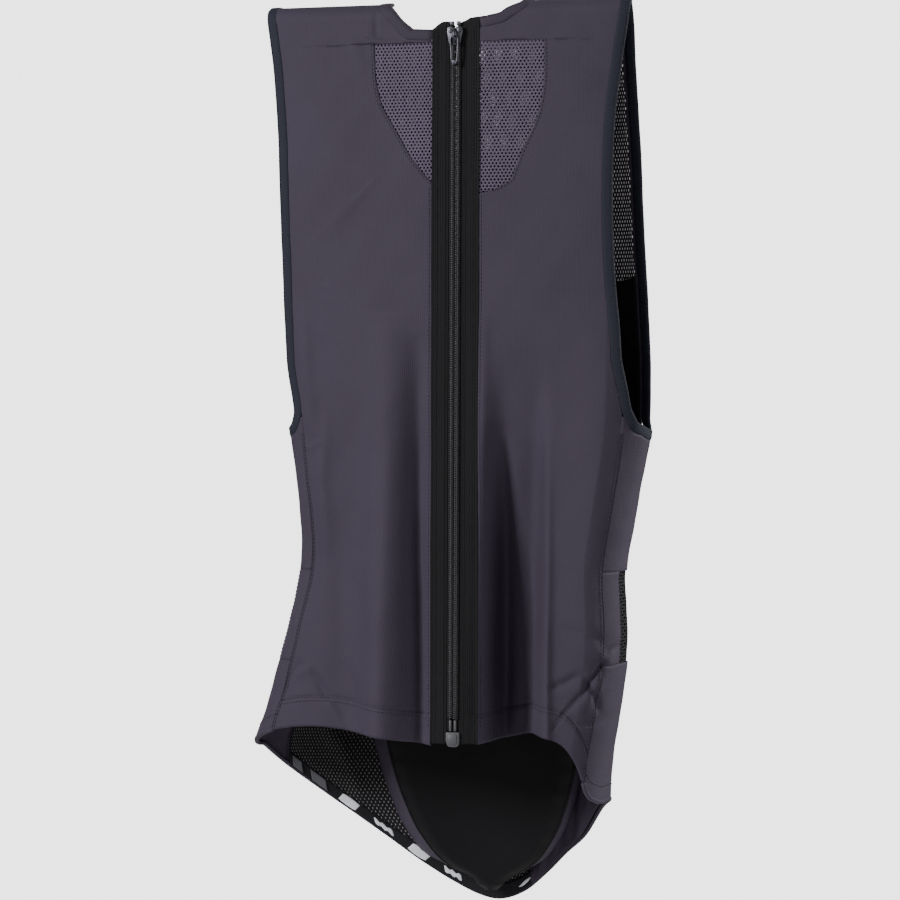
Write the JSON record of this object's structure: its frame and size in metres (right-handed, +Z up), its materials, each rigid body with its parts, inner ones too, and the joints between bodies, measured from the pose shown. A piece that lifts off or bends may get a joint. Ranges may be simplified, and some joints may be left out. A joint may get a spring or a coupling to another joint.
{
  "type": "back protector vest",
  "caption": "Sleeveless stretch vest with a full-length front zip, mesh vents, a dropped tail and a foam back protector pad in an inner pocket, shown hanging.",
  "frame": {"origin": "middle of the shoulder fold, between the two straps, where a hanger holds the vest", "axes": "+Z up along the hanging vest, -Y out of its front with the zip, +X towards the wearer's left"},
  "size_m": [0.2875, 0.128, 0.6349],
  "materials": {
    "shell_cloth": "matte",
    "mesh_cloth": "matte",
    "lining": "matte",
    "binding": "matte",
    "zip_tape": "matte",
    "zip_coil": "satin",
    "zip_metal": "gloss",
    "zip_plastic": "satin",
    "pocket_cloth": "satin",
    "grip_tape": "matte",
    "grip_silicone": "satin",
    "label": "matte",
    "pad_foam": "matte",
    "pad_core": "matte"
  },
  "bodies": {
    "vest": {"back_panel": "shell_cloth", "lining_yoke_mesh": "mesh_cloth", "lining_mid_panel": "lining", "lining_lower_mesh": "mesh_cloth", "hem_grip_tape": "grip_tape", "grip_print_1": "grip_silicone", "grip_print_2": "grip_silicone", "grip_print_3": "grip_silicone", "grip_print_4": "grip_silicone", "grip_print_5": "grip_silicone", "grip_print_6": "grip_silicone", "grip_print_7": "grip_silicone", "hem_label_1": "label", "hem_label_2": "label", "pad_pocket_cover": "pocket_cloth", "pocket_hook_strip": "binding", "pocket_loop_strip": "binding", "front_side_left": "shell_cloth", "front_side_right": "shell_cloth", "neck_mesh_outer_left": "mesh_cloth", "neck_mesh_outer_right": "mesh_cloth", "side_panel_left": "shell_cloth", "side_panel_right": "shell_cloth", "side_vent_left": "mesh_cloth", "side_vent_right": "mesh_cloth", "side_strip_left": "shell_cloth", "side_strip_right": "shell_cloth", "side_hem_left": "shell_cloth", "side_hem_right": "shell_cloth", "armhole_binding_left": "binding", "armhole_binding_right": "binding", "shoulder_tape_left": "lining", "shoulder_tape_right": "lining", "neck_binding_back": "binding"},
    "front_left": {"front_panel_left": "shell_cloth", "neck_mesh_left": "mesh_cloth", "neck_binding_left": "binding", "hem_facing_left": "shell_cloth", "zip_tape_left": "zip_tape", "zip_coil_left": "zip_coil", "zip_top_stop_left": "zip_metal", "zip_retainer_pin": "zip_plastic", "zip_box": "zip_plastic"},
    "front_right": {"front_panel_right": "shell_cloth", "neck_mesh_right": "mesh_cloth", "neck_binding_right": "binding", "hem_facing_right": "shell_cloth", "zip_tape_right": "zip_tape", "zip_coil_right": "zip_coil", "zip_top_stop_right": "zip_metal", "zip_insertion_pin": "zip_plastic"},
    "zip_slider": {"zip_slider_body": "zip_metal"},
    "zip_pull": {"zip_pull_tab": "zip_metal"},
    "pad": {"pad_outer_layer": "pad_foam", "pad_impact_core": "pad_core", "pad_comfort_layer": "pad_foam"}
  },
  "joints": [
    {"name": "front_left_fold", "type": "hinge", "parent": "vest", "child": "front_left", "pos_m": [0.034, -0.02, 0], "axis": [-0.0585, 0.0097, 0.9982], "range_deg": [0, 90]},
    {"name": "front_right_fold", "type": "hinge", "parent": "vest", "child": "front_right", "pos_m": [-0.034, -0.02, 0], "axis": [-0.0585, -0.0097, -0.9982], "range_deg": [0, 90], "deforming": ["zip_coil_right", "zip_tape_right"]},
    {"name": "zip_slide", "type": "slide", "parent": "front_left", "child": "zip_slider", "axis": [0, -0.016, -0.9999], "range_m": [0, 0.4695]},
    {"name": "zip_pull_swing", "type": "hinge", "parent": "zip_slider", "child": "zip_pull", "pos_m": [0, -0.02292, -0.02592], "axis": [-1, 0, 0], "range_deg": [0, 170]},
    {"name": "pad_slide", "type": "slide", "parent": "vest", "child": "pad", "axis": [0, 0.1289, -0.9917], "range_m": [0, 0.53]}
  ]
}
